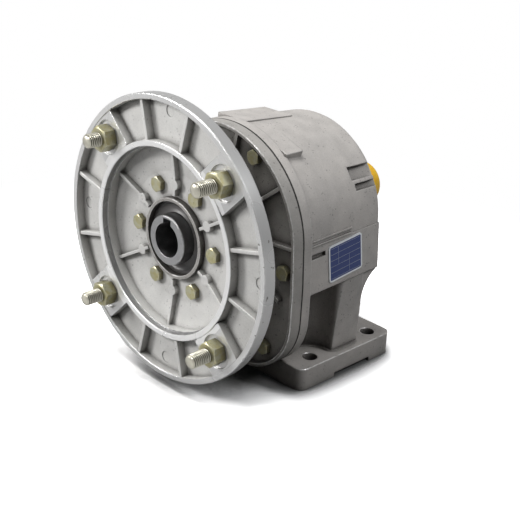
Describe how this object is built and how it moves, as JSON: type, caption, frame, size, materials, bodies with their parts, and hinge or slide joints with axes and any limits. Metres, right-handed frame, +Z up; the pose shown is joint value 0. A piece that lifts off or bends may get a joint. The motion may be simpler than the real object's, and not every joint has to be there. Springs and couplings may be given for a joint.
{
  "type": "cycloidal reducer",
  "caption": "Foot-mounted coaxial cycloidal speed reducer with a flanged motor adapter, hollow keyed input shaft and capped output shaft.",
  "frame": {"origin": "centre of the four foot holes, on the plane the foot stands on", "axes": "+Z up, the shaft axis along Y with the motor flange towards -Y and the output shaft towards +Y"},
  "size_m": [0.2, 0.2335, 0.207],
  "materials": {
    "machined_casting": "cast aluminium with a machined rim and lip",
    "cast_aluminium": "sand-blasted die casting, warm grey",
    "zinc_steel": "bright zinc, threaded",
    "yellow_zinc": "yellow passivated zinc",
    "gasket": "black sealing compound",
    "seal_rubber": "moulded, matte",
    "nameplate": "blank blue plate with a silver border",
    "bearing_steel": "ground",
    "dark_steel": "oiled black",
    "turned_steel": "turned",
    "cast_iron": "machined all over",
    "cap_plastic": "soft yellow plastic"
  },
  "bodies": {
    "casing": {"motor_flange": "machined_casting", "flange_studs": "zinc_steel", "stud_nuts": "yellow_zinc", "flange_screws": "yellow_zinc", "input_cover": "cast_aluminium", "cover_screws": "yellow_zinc", "cover_gasket": "gasket", "housing": "cast_aluminium", "nameplate": "nameplate", "input_seal": "seal_rubber", "input_bearing_outer": "bearing_steel", "input_bearing_ring": "dark_steel", "ring_gear_housing": "cast_iron", "ring_pin_retainer": "cast_iron", "ring_pins": "bearing_steel", "ring_rollers": "bearing_steel", "ring_dowels": "bearing_steel", "front_bearing_outer": "bearing_steel", "rear_bearing_outer": "bearing_steel", "output_seal": "seal_rubber"},
    "input": {"input_shaft": "turned_steel", "input_bearing_inner": "bearing_steel", "input_bearing_balls": "bearing_steel", "pilot_bearing_inner": "bearing_steel"},
    "disc_a": {"cycloid_disc_a": "turned_steel", "eccentric_bearing_a": "bearing_steel"},
    "disc_b": {"cycloid_disc_b": "turned_steel", "eccentric_bearing_b": "bearing_steel"},
    "output": {"output_shaft": "turned_steel", "output_pins": "bearing_steel", "output_rollers": "bearing_steel", "pilot_bearing_outer": "bearing_steel", "pilot_bearing_balls": "bearing_steel", "front_bearing_inner": "bearing_steel", "front_bearing_balls": "bearing_steel", "rear_bearing_inner": "bearing_steel", "rear_bearing_balls": "bearing_steel", "bearing_sleeve": "turned_steel", "shaft_retaining_ring": "dark_steel", "output_key": "dark_steel"},
    "cap": {"shaft_cap": "cap_plastic"}
  },
  "joints": [
    {"name": "input_spin", "type": "hinge", "parent": "casing", "child": "input", "pos_m": [0, 0, 0.107], "axis": [0, 1, 0], "continuous": true},
    {"name": "disc_a_spin", "type": "hinge", "parent": "input", "child": "disc_a", "pos_m": [0.0025, 0, 0.107], "axis": [0, 1, 0], "continuous": true},
    {"name": "disc_b_spin", "type": "hinge", "parent": "input", "child": "disc_b", "pos_m": [-0.0025, 0, 0.107], "axis": [0, 1, 0], "continuous": true},
    {"name": "output_spin", "type": "hinge", "parent": "casing", "child": "output", "pos_m": [0, 0, 0.107], "axis": [0, 1, 0], "continuous": true},
    {"name": "cap_pull", "type": "slide", "parent": "output", "child": "cap", "axis": [0, 1, 0], "range_m": [0, 0.06]}
  ],
  "couplings": [
    {"joint": "disc_a_spin", "follows": "input_spin", "ratio": -1.0909},
    {"joint": "disc_b_spin", "follows": "input_spin", "ratio": -1.0909},
    {"joint": "output_spin", "follows": "input_spin", "ratio": -0.090909}
  ]
}
